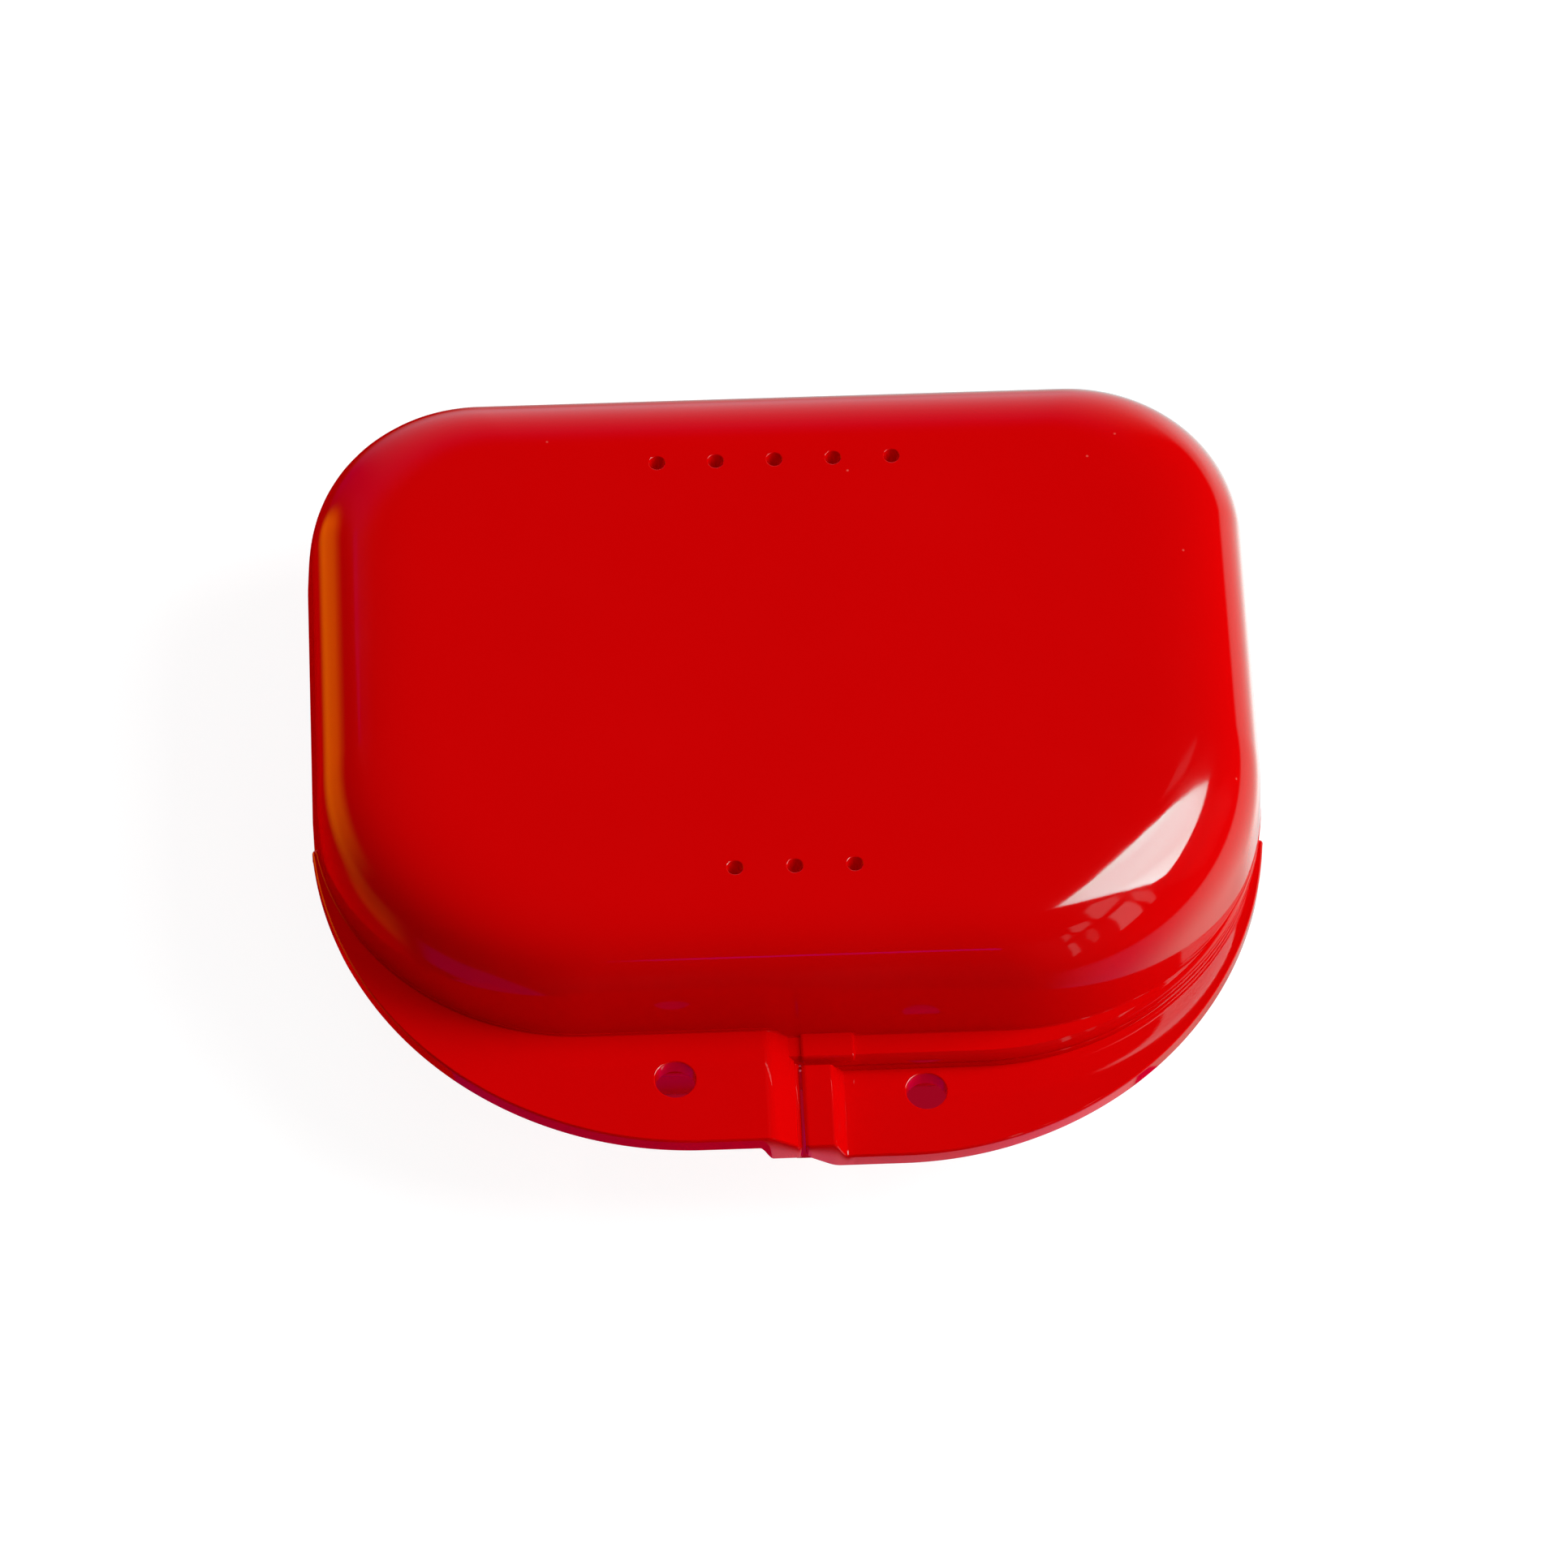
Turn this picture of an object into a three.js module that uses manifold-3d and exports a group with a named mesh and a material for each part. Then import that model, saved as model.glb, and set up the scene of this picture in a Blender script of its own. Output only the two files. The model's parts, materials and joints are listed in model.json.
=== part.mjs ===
// Hinged, vented retainer case in glossy plastic: two equal mouldings and two hinge pins.
// The lid is the base moulding turned over about the front-to-back line.
// Millimetres, +Z up, +Y towards the hinge. The case lies closed on its base, front to -Y.
// Depths are counted from a datum line across the case, where the front corner arcs start.

import * as THREE from "three";
import { mergeVertices } from "three/addons/utils/BufferGeometryUtils.js";
import Module from "manifold-3d";

const wasm = await Module();
wasm.setup();

// Case body
const bodyHalfWidth = 40.2;
const bodyFront = 25.6;
const bodyBack = 34.2;
const halfHeight = 12.5;
const wallThickness = 1.6;
const floorThickness = 1.6;
const backCornerRadius = 14.5;
const frontCornerRadius = 22.5;
const edgeRadius = 6;
const draftAngle = THREE.MathUtils.degToRad(3);
const partingGap = 0.2;

// Rim that thickens the mouth and stands proud of the front wall as a ledge
const rimReach = 2.3;
const rimThickness = 1.3;
const rimCornerRadius = 24.9;

// Thumb flange on one half of the front, offset from the parting plane
const flangeReach = 10.45;
const flangeCornerRadius = 32;
const flangeEnd = 6.5;
const flangeSideStep = 0.25;
const flangeThickness = 1.7;
const flangeOffset = 0.8;
const splitGap = 0.3;
const rimClearance = 0.35;

// End of the flange at the split, bent towards the parting plane
const bendLift = 1.8;
const outerBendLength = 2.5;
const bendTopLength = 2.4;
const innerBendLength = 1.2;

// Cord hole through the flange
const cordHoleRadius = 1.7;
const cordHoleFromSplit = 10.5;
const cordHoleFromFront = 4.3;

// Vent holes through the flat of each moulding
const ventRadius = 0.7;
const ventSink = 0.35;
const ventPitch = 5;
const backVentCount = 5;
const frontVentCount = 3;
const backVentRow = 24.7;
const frontVentRow = 15.8;

// Catch pad on the ledge, and the tongue that slides behind the other moulding's front wall
const padLength = 4.5;
const padRise = 0.35;
const tongueLength = 8;
const tongueFromCentre = 3;
const tongueThickness = 1;
const tongueHeight = 1.8;
const tongueRoot = 3.2;
const tongueClearance = 0.2;
const tongueChamfer = 0.4;

// Hinge
const pinRadius = 0.75;
const pinClearance = 0.07;
const pinChamfer = 0.2;
const pinInset = 0.3;
const knuckleRadius = 1.9;
const knuckleSideGap = 0.3;
const knuckleNotchGap = 0.3;
const hingeStandOff = 1.5;
const hingeSpacing = 34;
const middleKnuckleLength = 6;
const outerKnuckleLength = 5;

// Facets
const backCornerSteps = 4;
const frontCornerSteps = 6;
const edgeSteps = 6;
const bendSteps = 4;
const ventSides = 14;
const roundSides = 28;

// Cuts run past the faces they pass through
const overrun = 2;

const plasticColor = 0xc60000;
const steelColor = 0xb9bcc0;

const hingeAxis = bodyBack + hingeStandOff;
const flangeFront = bodyFront + flangeReach;
const rimFront = bodyFront + rimReach;
const depthCentre = (hingeAxis + knuckleRadius - flangeFront) / 2;
const flangeInner = -flangeOffset;
const flangeOuter = -flangeOffset - flangeThickness;

// A closed geometry with shared corners as a solid that can be joined and cut.
function solid(geometry) {
  const bare = geometry.clone();
  bare.deleteAttribute("normal");
  bare.deleteAttribute("uv");
  const merged = mergeVertices(bare);
  return new wasm.Manifold(new wasm.Mesh({
    numProp: 3,
    vertProperties: new Float32Array(merged.attributes.position.array),
    triVerts: new Uint32Array(merged.index.array),
  }));
}

function geometryOf(body) {
  const mesh = body.getMesh();
  const geometry = new THREE.BufferGeometry();
  geometry.setAttribute("position", new THREE.BufferAttribute(new Float32Array(mesh.vertProperties), 3));
  geometry.setIndex(new THREE.BufferAttribute(new Uint32Array(mesh.triVerts), 1));
  geometry.computeVertexNormals();
  return geometry;
}

// Plan outline with four rounded corners, drawn in by an inset on every side.
function planOutline({ halfWidth, front, back, frontRadius, backRadius }, inset = 0) {
  const width = halfWidth - inset;
  const near = -front + inset;
  const far = back - inset;
  const corner = { near: frontRadius - inset, far: backRadius - inset };
  const points = [];
  const arc = (x, y, radius, from, steps) => {
    const curve = new THREE.EllipseCurve(x, y, radius, radius, from, from + Math.PI / 2);
    points.push(...curve.getPoints(2 * steps));
  };
  arc(width - corner.near, near + corner.near, corner.near, -Math.PI / 2, frontCornerSteps);
  arc(width - corner.far, far - corner.far, corner.far, 0, backCornerSteps);
  arc(corner.far - width, far - corner.far, corner.far, Math.PI / 2, backCornerSteps);
  arc(corner.near - width, near + corner.near, corner.near, Math.PI, frontCornerSteps);
  return points;
}

// Closed skin over outlines of equal point counts, stacked from the lowest up.
function loft(rings) {
  const count = rings[0].points.length;
  const position = rings.flatMap(({ points, z }) => points.flatMap((point) => [point.x, point.y, z]));
  const index = [];
  for (let level = 0; level < rings.length - 1; level += 1) {
    for (let side = 0; side < count; side += 1) {
      const next = (side + 1) % count;
      const low = level * count;
      const high = low + count;
      index.push(low + side, low + next, high + next, low + side, high + next, high + side);
    }
  }
  const top = (rings.length - 1) * count;
  for (let side = 1; side < count - 1; side += 1) {
    index.push(0, side + 1, side);
    index.push(top, top + side, top + side + 1);
  }
  const geometry = new THREE.BufferGeometry();
  geometry.setAttribute("position", new THREE.Float32BufferAttribute(position, 3));
  geometry.setIndex(index);
  return geometry;
}

const bodyPlan = {
  halfWidth: bodyHalfWidth,
  front: bodyFront,
  back: bodyBack,
  frontRadius: frontCornerRadius,
  backRadius: backCornerRadius,
};

// Bowl below the parting plane: upright mouth, drafted wall, rolled lower edge.
function bowl(plan, depth, radius, mouth) {
  const wallDepth = depth - rimThickness;
  const centreInset = (radius + (wallDepth - radius) * Math.sin(draftAngle)) / Math.cos(draftAngle);
  const rings = [];
  for (let step = edgeSteps; step >= 0; step -= 1) {
    const angle = THREE.MathUtils.lerp(draftAngle, Math.PI / 2, step / edgeSteps);
    const inset = centreInset - radius * Math.cos(angle);
    rings.push({ points: planOutline(plan, inset), z: -depth + radius - radius * Math.sin(angle) });
  }
  rings.push({ points: planOutline(plan), z: -rimThickness });
  rings.push({ points: planOutline(plan), z: mouth });
  return solid(loft(rings));
}

function innerPlan() {
  return {
    halfWidth: bodyHalfWidth - wallThickness,
    front: bodyFront - wallThickness,
    back: bodyBack - wallThickness,
    frontRadius: frontCornerRadius - wallThickness,
    backRadius: backCornerRadius - wallThickness,
  };
}

function cavity() {
  return bowl(innerPlan(), halfHeight - floorThickness, edgeRadius - wallThickness, overrun);
}

// Straight plate of a plan outline between two heights.
function plate(points, low, high) {
  return solid(loft([{ points, z: low }, { points, z: high }]));
}

const rimPlan = { ...bodyPlan, front: rimFront, frontRadius: rimCornerRadius };

const flangePlan = {
  ...bodyPlan,
  halfWidth: bodyHalfWidth + flangeSideStep,
  front: flangeFront,
  frontRadius: flangeCornerRadius,
};

// Smooth step between two heights, from one place to another across the case.
function bendPoints(fromX, fromZ, toX, toZ) {
  const points = [];
  for (let step = 0; step <= bendSteps; step += 1) {
    const share = step / bendSteps;
    const x = THREE.MathUtils.lerp(fromX, toX, share);
    points.push(new THREE.Vector2(x, THREE.MathUtils.lerp(fromZ, toZ, (1 - Math.cos(Math.PI * share)) / 2)));
  }
  return points;
}

// Section of the flange across the case: flat plate with its end lifted at the split, by a
// straight slope on the outer face and a smooth step on the inner one.
function flangeSection() {
  const start = splitGap / 2;
  const end = bodyHalfWidth + overrun;
  const innerStart = start + bendTopLength;
  return [
    new THREE.Vector2(end, flangeOuter),
    new THREE.Vector2(end, flangeInner),
    ...bendPoints(innerStart + innerBendLength, flangeInner, innerStart, flangeInner + bendLift),
    new THREE.Vector2(start, flangeInner + bendLift),
    new THREE.Vector2(start, flangeOuter + bendLift),
    new THREE.Vector2(start + outerBendLength, flangeOuter),
  ];
}

// Extrudes a section drawn in X and Z along Y.
function alongDepth(section, near, far) {
  const shape = new THREE.Shape(section);
  const geometry = new THREE.ExtrudeGeometry(shape, { depth: far - near, bevelEnabled: false });
  geometry.rotateX(Math.PI / 2);
  geometry.translate(0, far, 0);
  return solid(geometry);
}

function flange() {
  const section = alongDepth(flangeSection(), -flangeFront - overrun, -flangeEnd);
  const span = flangeThickness + bendLift + overrun;
  const outline = plate(planOutline(flangePlan), flangeOuter - overrun, flangeInner + span);
  const mouth = plate(planOutline(rimPlan, -rimClearance), -partingGap / 2, flangeInner + span + overrun);
  const hole = new THREE.CylinderGeometry(cordHoleRadius, cordHoleRadius, span + overrun, roundSides);
  hole.rotateX(Math.PI / 2);
  hole.translate(cordHoleFromSplit, -flangeFront + cordHoleFromFront + cordHoleRadius, flangeOuter);
  return section.intersect(outline).subtract(mouth).subtract(solid(hole));
}

// Box between two corners.
function block(low, high) {
  const size = new THREE.Vector3().subVectors(high, low);
  const geometry = new THREE.BoxGeometry(size.x, size.y, size.z);
  geometry.translate(...low.clone().lerp(high, 0.5).toArray());
  return solid(geometry);
}

function catchPad() {
  const start = splitGap / 2;
  const low = new THREE.Vector3(-start - padLength, -rimFront, -rimThickness - padRise);
  const high = new THREE.Vector3(-start, -bodyFront + wallThickness / 2, -rimThickness / 2);
  return block(low, high);
}

// Extrudes a section drawn in Y and Z along X.
function acrossWidth(section, from, to) {
  const shape = new THREE.Shape(section);
  const geometry = new THREE.ExtrudeGeometry(shape, { depth: to - from, bevelEnabled: false });
  const axes = [new THREE.Vector3(0, 1, 0), new THREE.Vector3(0, 0, 1), new THREE.Vector3(1, 0, 0)];
  geometry.applyMatrix4(new THREE.Matrix4().makeBasis(...axes));
  geometry.translate(from, 0, 0);
  return solid(geometry);
}

// Tongue inside the front wall, rising past the parting plane into the other moulding.
function catchTongue() {
  const innerFace = -bodyFront + wallThickness;
  const outer = innerFace + tongueClearance;
  const inner = outer + tongueThickness;
  const rooted = innerFace - wallThickness / 2;
  const slope = inner - rooted;
  return acrossWidth([
    new THREE.Vector2(rooted, -tongueRoot - slope),
    new THREE.Vector2(inner, -tongueRoot),
    new THREE.Vector2(inner, tongueHeight - tongueChamfer),
    new THREE.Vector2(inner - tongueChamfer, tongueHeight),
    new THREE.Vector2(outer + tongueChamfer, tongueHeight),
    new THREE.Vector2(outer, tongueHeight - tongueChamfer),
    new THREE.Vector2(outer, -rimThickness),
    new THREE.Vector2(rooted, -rimThickness),
  ], tongueFromCentre, tongueFromCentre + tongueLength);
}

// Round hole cutter with a widened outer mouth, from inside the cavity to below the floor.
function ventCutter(x, y) {
  const reach = floorThickness + overrun;
  const profile = [
    new THREE.Vector2(0, -overrun),
    new THREE.Vector2(ventRadius + ventSink, -overrun),
    new THREE.Vector2(ventRadius + ventSink, 0),
    new THREE.Vector2(ventRadius, ventSink),
    new THREE.Vector2(ventRadius, reach),
    new THREE.Vector2(0, reach),
  ];
  const geometry = new THREE.LatheGeometry(profile, ventSides);
  geometry.rotateX(Math.PI / 2);
  geometry.translate(x, y, -halfHeight);
  return solid(geometry);
}

function ventCutters() {
  const rows = [[backVentCount, backVentRow], [frontVentCount, -frontVentRow]];
  return rows.flatMap(([count, y]) => {
    const first = -ventPitch * (count - 1) / 2;
    return Array.from({ length: count }, (_, place) => ventCutter(first + place * ventPitch, y));
  });
}

// Lengths across the case that a hinge takes: outer, middle and outer knuckle.
function knuckleSpans(centre) {
  const middle = middleKnuckleLength / 2;
  const outer = middle + knuckleSideGap;
  return {
    middle: [[centre - middle, centre + middle]],
    outer: [
      [centre - outer - outerKnuckleLength, centre - outer],
      [centre + outer, centre + outer + outerKnuckleLength],
    ],
  };
}

function rod(radius, from, to, sides = roundSides) {
  const geometry = new THREE.CylinderGeometry(radius, radius, to - from, sides);
  geometry.rotateZ(Math.PI / 2);
  geometry.translate((from + to) / 2, hingeAxis, 0);
  return solid(geometry);
}

// Knuckle round the hinge axis with a sloping web down to the back wall.
function knuckle([from, to]) {
  const rooted = bodyBack - wallThickness / 2;
  const tangent = knuckleRadius * Math.SQRT1_2;
  const fall = hingeAxis + tangent - rooted;
  const web = acrossWidth([
    new THREE.Vector2(rooted, -tangent - fall),
    new THREE.Vector2(hingeAxis + tangent, -tangent),
    new THREE.Vector2(hingeAxis, -partingGap / 2),
    new THREE.Vector2(rooted, -partingGap / 2),
  ], from, to);
  const bore = rod(pinRadius + pinClearance, from - overrun, to + overrun);
  return { body: rod(knuckleRadius, from, to).add(web), bore };
}

function notch([from, to]) {
  return rod(knuckleRadius + knuckleNotchGap, from - knuckleSideGap, to + knuckleSideGap);
}

// One moulding, open upwards at the parting plane, with its flange to +X.
function moulding() {
  const right = knuckleSpans(hingeSpacing / 2);
  const left = knuckleSpans(-hingeSpacing / 2);
  const ownKnuckles = [...right.outer, ...left.middle].map(knuckle);
  const notches = [...right.middle, ...left.outer].map(notch);
  let shell = bowl(bodyPlan, halfHeight, edgeRadius, -partingGap / 2);
  shell = shell.add(plate(planOutline(rimPlan), -rimThickness, -partingGap / 2));
  shell = shell.add(flange()).add(catchPad());
  shell = notches.reduce((body, cut) => body.subtract(cut), shell);
  shell = ownKnuckles.reduce((body, piece) => body.add(piece.body), shell);
  shell = shell.subtract(cavity()).add(catchTongue());
  shell = ownKnuckles.reduce((body, piece) => body.subtract(piece.bore), shell);
  shell = ventCutters().reduce((body, cut) => body.subtract(cut), shell);
  return geometryOf(shell);
}

function pinGeometry() {
  const length = middleKnuckleLength + 2 * (knuckleSideGap + outerKnuckleLength - pinInset);
  const profile = [
    new THREE.Vector2(0, -length / 2),
    new THREE.Vector2(pinRadius - pinChamfer, -length / 2),
    new THREE.Vector2(pinRadius, -length / 2 + pinChamfer),
    new THREE.Vector2(pinRadius, length / 2 - pinChamfer),
    new THREE.Vector2(pinRadius - pinChamfer, length / 2),
    new THREE.Vector2(0, length / 2),
  ];
  const geometry = new THREE.LatheGeometry(profile, roundSides);
  geometry.rotateZ(Math.PI / 2);
  return geometry;
}

const plastic = new THREE.MeshStandardMaterial({ color: plasticColor, roughness: 0.12, metalness: 0 });
const steel = new THREE.MeshStandardMaterial({ color: steelColor, roughness: 0.3, metalness: 1 });

function part(name, geometry, material) {
  const mesh = new THREE.Mesh(geometry, material.clone());
  mesh.name = name;
  return mesh;
}

const shellGeometry = moulding();
const base = part("base_shell", shellGeometry, plastic);
const lid = part("lid_shell", shellGeometry, plastic);
lid.rotation.y = Math.PI;

const pins = [["hinge_pin_right", 1], ["hinge_pin_left", -1]].map(([name, side]) => {
  const pin = part(name, pinGeometry(), steel);
  pin.position.set(side * hingeSpacing / 2, hingeAxis, 0);
  return pin;
});

const retainerCase = new THREE.Group();
retainerCase.add(base, lid, ...pins);
retainerCase.position.set(0, -depthCentre, halfHeight);

export default retainerCase;
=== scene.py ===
import json
import math

import bmesh
import bpy
from mathutils import Matrix, Quaternion, Vector


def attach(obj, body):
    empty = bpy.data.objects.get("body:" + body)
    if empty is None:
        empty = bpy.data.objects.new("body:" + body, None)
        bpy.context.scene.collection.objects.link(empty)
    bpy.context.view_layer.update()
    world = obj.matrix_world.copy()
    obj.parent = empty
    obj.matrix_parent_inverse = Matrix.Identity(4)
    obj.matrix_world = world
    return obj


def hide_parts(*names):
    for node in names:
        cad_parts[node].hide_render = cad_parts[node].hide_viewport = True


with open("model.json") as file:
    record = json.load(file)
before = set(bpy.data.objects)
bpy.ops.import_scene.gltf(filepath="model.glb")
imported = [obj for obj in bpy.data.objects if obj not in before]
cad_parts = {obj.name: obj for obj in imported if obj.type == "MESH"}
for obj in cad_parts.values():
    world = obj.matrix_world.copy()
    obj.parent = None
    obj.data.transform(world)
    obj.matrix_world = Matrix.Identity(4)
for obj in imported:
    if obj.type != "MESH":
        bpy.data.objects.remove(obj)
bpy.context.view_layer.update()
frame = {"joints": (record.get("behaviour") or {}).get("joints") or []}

# Sizes are millimetres, as in the CAD model. Depths are counted from a datum line across the
# case, just behind the front corner arcs, and heights from the parting plane.
MM = 0.001

# Camera, placed for the photograph's outline, with its reach in metres
CAMERA_LENS = 228.5
CAMERA_DISTANCE = 846.4
CAMERA_TURN = math.radians(3.279)
CAMERA_RISE = math.radians(58.343)
CAMERA_ROLL = math.radians(0.939)
CAMERA_AIM = -0.13
CAMERA_REACH = 20

# Case body
BODY_HALF_WIDTH = 40.2
BODY_FRONT = 25.6
BODY_BACK = 34.2
HALF_HEIGHT = 12.5
WALL = 1.6
FRONT_CORNER = 22.5
BACK_CORNER = 14.5
INNER_EDGE = 4.4
DRAFT = math.radians(3)
PARTING_GAP = 0.2
MOUTH_EDGE = 0.2

# Flat of the moulding, and how its edge leaves the flat and joins the wall
FLAT_HALF_WIDTH = 28.6
FLAT_FRONT = 17.2
FLAT_BACK = 24.5
FLAT_FRONT_CORNER = 18
FLAT_BACK_CORNER = 8
EDGE_DROP = 9
FLAT_HANDLE_SHARES = (0.52, 0.14)
WALL_HANDLE_SHARES = (0.6, 0.22)

# Rim ledge
RIM_REACH = 2.3
RIM_THICKNESS = 1.3
RIM_CORNER = 24.9
RIM_EDGE = 1.1
FOOT_RADIUS = 0.3
FULL_LEDGE_WIDTH = 0.9
EDGE_SWEEP = math.radians(50)

# Thumb flange
FLANGE_REACH = 10.45
FLANGE_CORNER = 32
FLANGE_SIDE_STEP = 0.18
FLANGE_END = 6.5
FLANGE_THICKNESS = 1.7
FLANGE_OFFSET = 0.8
FLANGE_EDGE = 0.35
FLANGE_BORDER = 0.25
FLANGE_ROOT = 0.8
SPLIT_GAP = 0.2
BEND_LIFT = 1.8
OUTER_BEND_LENGTH = 2.5
BEND_TOP_LENGTH = 2.4
INNER_BEND_LENGTH = 1.2
BEND_SOFTNESS = 0.5
RIM_CLEARANCE = 0.35

# Cord holes
CORD_HOLE_RADIUS = 1.7
CORD_HOLE_FROM_SPLIT = 10.5
CORD_HOLE_FROM_FRONT = 4.3
CORD_HOLE_FLARE = 0.12

# Vent holes, and how far the lip of every hole sweeps
VENT_RADIUS = 0.66
VENT_FLARE = 0.08
VENT_PITCH = 5
VENT_FOOT_RADIUS = 0.3
VENT_ROWS = ((5, 24.85), (3, -15.68))
LIP_SWEEP = math.radians(80)

# Catch
PAD_LENGTH = 4.5
PAD_RISE = 0.35
PAD_EDGE = 0.25
TONGUE_LENGTH = 8
TONGUE_FROM_CENTRE = 3
TONGUE_THICKNESS = 1
TONGUE_HEIGHT = 1.8
TONGUE_ROOT = 3.2
TONGUE_CLEARANCE = 0.2
TONGUE_EDGE = 0.35

# Hinge
PIN_RADIUS = 0.75
PIN_CLEARANCE = 0.07
PIN_EDGE = 0.2
PIN_MARK_RADIUS = 0.2
PIN_MARK_DEPTH = 0.15
PIN_INSET = 0.3
KNUCKLE_RADIUS = 1.9
KNUCKLE_EDGE = 0.25
WEB_SLOPE = math.radians(45)
KNUCKLE_SIDE_GAP = 0.3
NOTCH_GAP = 0.3
HINGE_STAND_OFF = 1.5
HINGE_SPACING = 34
MIDDLE_KNUCKLE = 6
OUTER_KNUCKLE = 5

# Facets
CORNER_STEPS = 40
STRAIGHT_STEPS = 8
EDGE_STEPS = 22
INNER_EDGE_STEPS = 11
ROUND_STEPS = 5
LIP_STEPS = 10
BEND_STATIONS = 34
BAND_STATIONS = 90
ROUND_SIDES = 64
VENT_SIDES = 40
CREASE_ANGLE = math.radians(38)
ROUND_PROFILE = 0.5
MERGE_DISTANCE = 1e-5
SLIVER_LENGTH = 1e-6

# Finish, with the dust specks placed in the shared frame
RED_DEEP = (0.60, 0.0003, 0.0006, 1)
RED_LIGHT = (0.64, 0.0004, 0.0008, 1)
GLOSS_ROUGHNESS = (0.04, 0.08)
PLASTIC_IOR = 1.5
CLOUD_SCALE = 60.0
CLOUD_DETAIL = 4.0
SMUDGE_SCALE = 140.0
SMUDGE_DETAIL = 6.0
SMUDGE_SPAN = (0.35, 0.75)
RIPPLE_SCALE = 90.0
RIPPLE_DETAIL = 1.0
RIPPLE_HEIGHT = 0.004
SPECK_RADIUS = 0.16
SPECK_COLOUR = (0.75, 0.09, 0.07, 1)
SPECKS = (
    (6.2, 22.7, 25), (34.3, 13.7, 24.7), (37.4, -8.3, 23.2), (-19.3, 26.6, 24.9), (29.2, 25.7, 24.8),
    (26.7, 23.4, 25),
)
STEEL_DARK = (0.45, 0.45, 0.46, 1)
STEEL_LIGHT = (0.66, 0.66, 0.67, 1)
STEEL_ROUGHNESS = (0.22, 0.38)
GRAIN_SCALE = 900.0
GRAIN_DETAIL = 5.0
GRAIN_STRETCH = (0.05, 1.0, 1.0)

# Floor, its half size in metres
FLOOR_REACH = 3
FLOOR_COLOUR = (0.8, 0.8, 0.8, 1)
FLOOR_DIM = (0.3, 0.3, 0.3, 1)
FLOOR_LIFT = 0.84

# Shade on the floor, with plates given by their left, right, front and back
SHADE_COLOUR = (0.33, 0.002, 0.014, 1)
SHADE_HALF_WIDTH = 38.8
SHADE_FRONT = 28.2
SHADE_BACK = 33
SHADE_CORNER = 30
SHADE_FADE = 3
SHADE_STEPS = 6
SHADE_HEIGHT = 0.05
SPLIT_SHADE = (-0.2, 1.2, -29.5, -24)
TAB_SHADES = ((-45, -3, -50, -30), (3, 20, -39, -30), (-36, 36, -30, -25))
TAB_SHADE_TINT = (0.4, 0.0, 0.14)
LOWER_SHADE_HEIGHT = 0.02

# Lamps: azimuth, elevation, level and shadow. Azimuths are counted from the back towards the right
# in degrees, here and below, and the studio's distances and lamp sizes are metres.
LAMPS = ((90, 36, 1.15, True), (-30, 25, 0.6, False), (150, 20, 0.18, False))
LAMP_DISTANCE = 0.95
LAMP_SIZES = (0.5, 0.9)
FILL_LEVEL = 0.19

# Mirrored cards: a window by azimuth, elevation and glow at each corner, its panes by glow and
# corners, and two blue lamps by azimuth, elevation, width, height and glow
CARD_DISTANCE = 1.2
CARD_CENTRE = Vector((25, -15, HALF_HEIGHT))
WINDOW_TINT = (0.4, 1, 0.97)
WINDOW_AGAIN_SHARE = 0.4
WINDOW_CORNERS = (
    (52, 76.2, 10), (32.7, 70, 14), (27.4, 66.5, 17), (26.6, 64.5, 19), (28.1, 62.9, 19), (33, 61.1, 18),
    (43.7, 57.2, 16), (57, 48.4, 11), (71, 50, 14), (88.6, 49.5, 17), (96.6, 48.8, 17), (98.5, 53.4, 20),
    (90, 64.3, 19), (75.1, 71.3, 15), (61.2, 75.1, 11),
)
WINDOW_PANES = (
    (1.3, ((126, 50), (109, 57), (123, 27), (135, 15))),
    (0.8, ((96, 62), (106, 49), (115, 32), (118, 30), (112, 51))),
    (0.95, ((106, 70), (87, 72), (91, 67), (101, 63), (127, 54), (123, 61))),
    (0.75, ((137, 59), (128, 59), (133, 52), (142, 45), (143, 49))),
    (0.3, ((140, 43), (137, 44), (142, 20), (145, 12), (145, 28))),
    (0.75, ((153, 23), (150, 28), (151, 4), (154, -4))),
    (0.5, ((149, 46), (145, 49), (147, 41), (152, 32))),
    (0.35, ((24.6, 60.2), (32.2, 57.6), (35.6, 53), (26, 58.2))),
)
BLUE_LAMPS = ((-43, 40.5, 7, 3, 0.35), (178, 32.5, 6, 3, 1.6))
BLUE_TINT = (0, 0, 0.9)

# Tent of mirrored glows. A ramp is where something turns from none to all. A span is where a glow
# lies: its start, its end, and how far it fades to each side of them. A turn is an azimuth
# counted on from where the front starts. The glows at the left have their azimuth span, elevation
# span and tint.
FULL_TURN = 360
TENT_RADIUS = 1.5
TENT_SEGMENTS = 240
EDGE_RAMP = (-60, -25)
GROUND_NORMAL = Vector((-0.12, 0.42, -0.9)).normalized()
GROUND_RAMP = (-0.05, 0.05)
GROUND_AZIMUTHS = (30, 150, 16)
GROUND_TINT = Vector((0.2, 0.9, 0.8))
GROUND_EDGE_TINT = Vector((0.7, 0.9, 0.8))
GROUND_FAR_TINT = Vector((0, 0.12, 0.3))
GROUND_FAR_RAMP = (92, 138)
BACK_AZIMUTHS = (-14, 46, 18)
BACK_FADE_START = -4
BACK_TOPS = (50, 12)
BACK_TOP_RAMP = (10, 42)
BACK_RISE_RAMP = (-30, 0)
BACK_AZIMUTH_RAMP = (-8, 12)
BACK_TINT = Vector((0.4, 1.4, 1.4))
BACK_EDGE_TINT = Vector((1.2, 1.4, 1.4))
STEEP_RAMP = (-61, -51)
STEEP_AZIMUTH_RAMP = (10, 30)
STEEP_LOSS_SHARES = (0.75, 0.35)
STEEP_LOSS_RAMP = (50, 85)
FRONT_START = 100
FRONT_TURNS = (0, 130, 20)
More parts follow.
